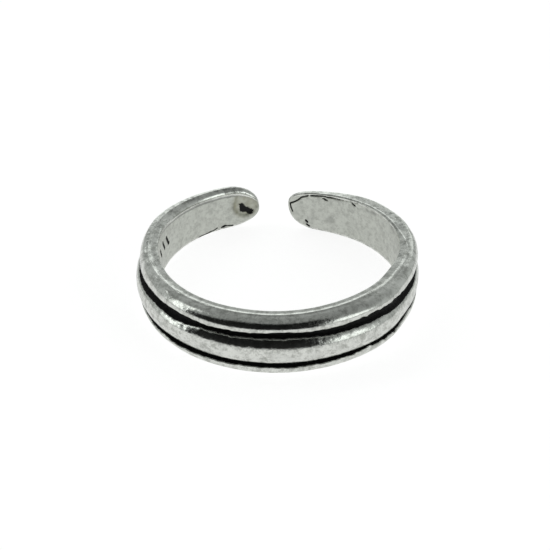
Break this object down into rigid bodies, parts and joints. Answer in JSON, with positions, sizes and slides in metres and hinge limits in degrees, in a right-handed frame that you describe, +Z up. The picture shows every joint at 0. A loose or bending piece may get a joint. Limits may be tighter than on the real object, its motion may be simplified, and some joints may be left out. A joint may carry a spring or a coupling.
{
  "type": "toe ring",
  "caption": "Open toe ring: a tapering silver band with blackened grooves and rounded ends, which springs onto the toe.",
  "frame": {"origin": "on the axis of the bore, at the lower edge that the ring lies on", "axes": "+Z up along the bore's axis, -Y towards the middle of the band, +Y towards the gap, +X to the right"},
  "size_m": [0.0177, 0.0173, 0.0041],
  "materials": {
    "silver": "worn, softly polished sterling silver, blackened in the grooves"
  },
  "bodies": {
    "root": {"band": "silver"}
  },
  "joints": []
}
